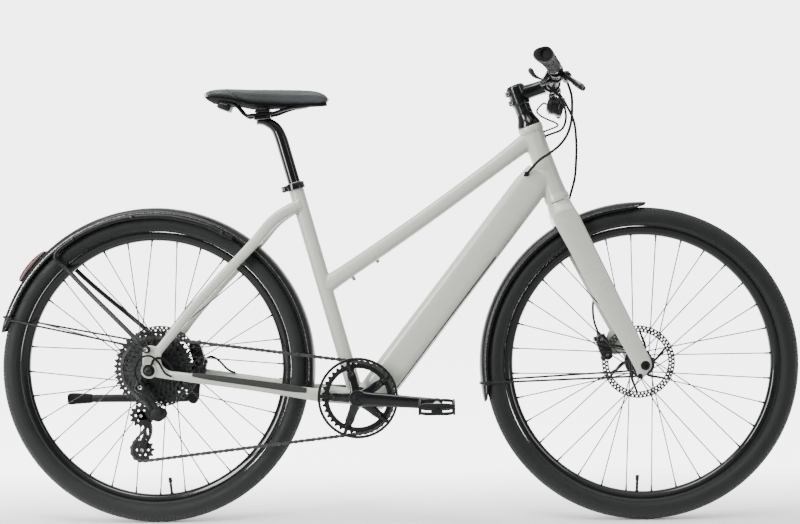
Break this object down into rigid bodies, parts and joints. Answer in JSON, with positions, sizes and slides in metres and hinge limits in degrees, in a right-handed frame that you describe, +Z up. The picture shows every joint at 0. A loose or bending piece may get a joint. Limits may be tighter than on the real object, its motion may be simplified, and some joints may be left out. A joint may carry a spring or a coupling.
{
  "type": "electric bicycle",
  "caption": "City bicycle with its battery inside a deep down tube, a rear hub motor, disc brakes, mudguards, lights, a derailleur drivetrain and a kickstand.",
  "frame": {"origin": "ground level, under the centre of the overall box", "axes": "+X forwards, the bicycle's travel direction; +Y to the rider's left; +Z up"},
  "size_m": [1.7404, 0.64, 0.9825],
  "materials": {
    "black_anodised_aluminium": "black anodised",
    "black_plastic": "fine matt moulded black",
    "black_rubber": "matt rubber",
    "black_satin_paint": "satin black paint",
    "dark_red_lens": "clear dark red moulding",
    "darkened_rotor_steel": "darkened, ground flat",
    "pale_satin_paint": "satin pale grey-white paint",
    "plated_steel": "plated, lightly worn",
    "saddle_cover": "smooth padded synthetic leather",
    "tyre_rubber": "matt tread rubber"
  },
  "bodies": {
    "bicycle_frame": {"battery_door": "pale_satin_paint", "battery_pack": "black_plastic", "bottom_bracket": "black_anodised_aluminium", "carrier_tube_left": "black_satin_paint", "carrier_tube_right": "black_satin_paint", "chain": "plated_steel", "derailleur_body": "black_anodised_aluminium", "derailleur_cage": "black_anodised_aluminium", "frame": "pale_satin_paint", "kickstand_bracket": "black_satin_paint", "lower_headset_bearing": "plated_steel", "motor_core": "plated_steel", "rear_axle": "plated_steel", "rear_brake_hose_end": "black_rubber", "rear_caliper": "black_anodised_aluminium", "rear_lamp": "dark_red_lens", "rear_mudguard": "black_satin_paint", "seat_clamp": "black_anodised_aluminium", "shift_cable_end": "black_rubber", "upper_headset_bearing": "plated_steel"},
    "cassette_body": {"cassette": "plated_steel"},
    "crankset": {"chainring": "black_satin_paint", "left_crank": "black_anodised_aluminium", "right_crank": "black_anodised_aluminium"},
    "steering": {"fork": "pale_satin_paint", "front_axle": "plated_steel", "front_brake_hose": "black_rubber", "front_caliper": "black_anodised_aluminium", "front_mudguard": "black_satin_paint", "handlebar": "black_anodised_aluminium", "headlamp": "black_plastic", "headset_spacers": "black_anodised_aluminium", "lamp_wire": "black_rubber", "left_brake_body": "black_anodised_aluminium", "left_grip": "black_rubber", "rear_brake_hose": "black_rubber", "right_brake_body": "black_anodised_aluminium", "right_grip": "black_rubber", "shift_cable": "black_rubber", "shifter_body": "black_plastic", "stem": "black_anodised_aluminium"},
    "front_wheel": {"front_hub": "black_anodised_aluminium", "front_rim": "black_anodised_aluminium", "front_rotor": "darkened_rotor_steel", "front_tyre": "tyre_rubber"},
    "kickstand": {"kickstand_leg": "black_satin_paint"},
    "left_brake_lever_body": {"left_brake_lever": "black_anodised_aluminium"},
    "left_pedal_body": {"left_pedal": "black_plastic"},
    "lower_jockey_body": {"lower_jockey": "black_plastic"},
    "rear_wheel": {"rear_hub": "black_anodised_aluminium", "rear_rim": "black_anodised_aluminium", "rear_rotor": "darkened_rotor_steel", "rear_tyre": "tyre_rubber"},
    "right_brake_lever_body": {"right_brake_lever": "black_anodised_aluminium"},
    "right_pedal_body": {"right_pedal": "black_plastic"},
    "seatpost_body": {"saddle_cover": "saddle_cover", "saddle_rails": "plated_steel", "seatpost": "black_anodised_aluminium"},
    "shift_lever_body": {"shift_lever": "black_plastic"},
    "upper_jockey_body": {"upper_jockey": "black_plastic"}
  },
  "joints": [
    {"name": "steering_turn", "type": "hinge", "parent": "bicycle_frame", "child": "steering", "pos_m": [0.35483, 0, 0.69305], "axis": [-0.342, 0, 0.9397], "range_deg": [-70, 70], "deforming": ["rear_brake_hose", "shift_cable", "lamp_wire"]},
    {"name": "front_wheel_spin", "type": "hinge", "parent": "steering", "child": "front_wheel", "pos_m": [0.53115, 0, 0.339], "axis": [0, 1, 0], "continuous": true},
    {"name": "rear_wheel_spin", "type": "hinge", "parent": "bicycle_frame", "child": "rear_wheel", "pos_m": [-0.52885, 0, 0.339], "axis": [0, 1, 0], "continuous": true},
    {"name": "crank_spin", "type": "hinge", "parent": "bicycle_frame", "child": "crankset", "pos_m": [-0.08285, 0, 0.274], "axis": [0, 1, 0], "continuous": true},
    {"name": "cassette_spin", "type": "hinge", "parent": "bicycle_frame", "child": "cassette_body", "pos_m": [-0.52885, -0.03, 0.339], "axis": [0, 1, 0], "continuous": true},
    {"name": "upper_jockey_spin", "type": "hinge", "parent": "bicycle_frame", "child": "upper_jockey_body", "pos_m": [-0.55585, -0.0342, 0.2377], "axis": [0, 1, 0], "continuous": true},
    {"name": "lower_jockey_spin", "type": "hinge", "parent": "bicycle_frame", "child": "lower_jockey_body", "pos_m": [-0.55415, -0.0342, 0.163], "axis": [0, 1, 0], "continuous": true},
    {"name": "right_pedal_spin", "type": "hinge", "parent": "crankset", "child": "right_pedal_body", "pos_m": [0.08678, 0, 0.26273], "axis": [0, 1, 0], "continuous": true},
    {"name": "left_pedal_spin", "type": "hinge", "parent": "crankset", "child": "left_pedal_body", "pos_m": [-0.25248, 0, 0.28527], "axis": [0, 1, 0], "continuous": true},
    {"name": "seatpost_slide", "type": "slide", "parent": "bicycle_frame", "child": "seatpost_body", "axis": [-0.2698, 0, 0.9629], "range_m": [-0.09, 0.06]},
    {"name": "kickstand_fold", "type": "hinge", "parent": "bicycle_frame", "child": "kickstand", "pos_m": [-0.46485, 0.098, 0.262], "axis": [0, -0.9272, -0.3746], "range_deg": [0, 118]},
    {"name": "right_brake_lever_pull", "type": "hinge", "parent": "steering", "child": "right_brake_lever_body", "pos_m": [0.36225, -0.158, 0.94423], "axis": [-0.6629, 0.1323, -0.7369], "range_deg": [0, 20], "stiffness_Nm_per_rad": 0.8, "springref_deg": -8.59},
    {"name": "left_brake_lever_pull", "type": "hinge", "parent": "steering", "child": "left_brake_lever_body", "pos_m": [0.36225, 0.158, 0.94423], "axis": [0.6629, 0.1323, 0.7369], "range_deg": [0, 20], "stiffness_Nm_per_rad": 0.8, "springref_deg": -8.59},
    {"name": "shift_lever_push", "type": "hinge", "parent": "steering", "child": "shift_lever_body", "pos_m": [0.32105, -0.098, 0.94479], "axis": [0.342, 0, -0.9397], "range_deg": [0, 25], "stiffness_Nm_per_rad": 0.3, "springref_deg": -17.19}
  ],
  "couplings": [
    {"joint": "cassette_spin", "follows": "crank_spin", "ratio": 1.1176},
    {"joint": "upper_jockey_spin", "follows": "crank_spin", "ratio": -3.1667},
    {"joint": "lower_jockey_spin", "follows": "crank_spin", "ratio": 3.1667}
  ]
}
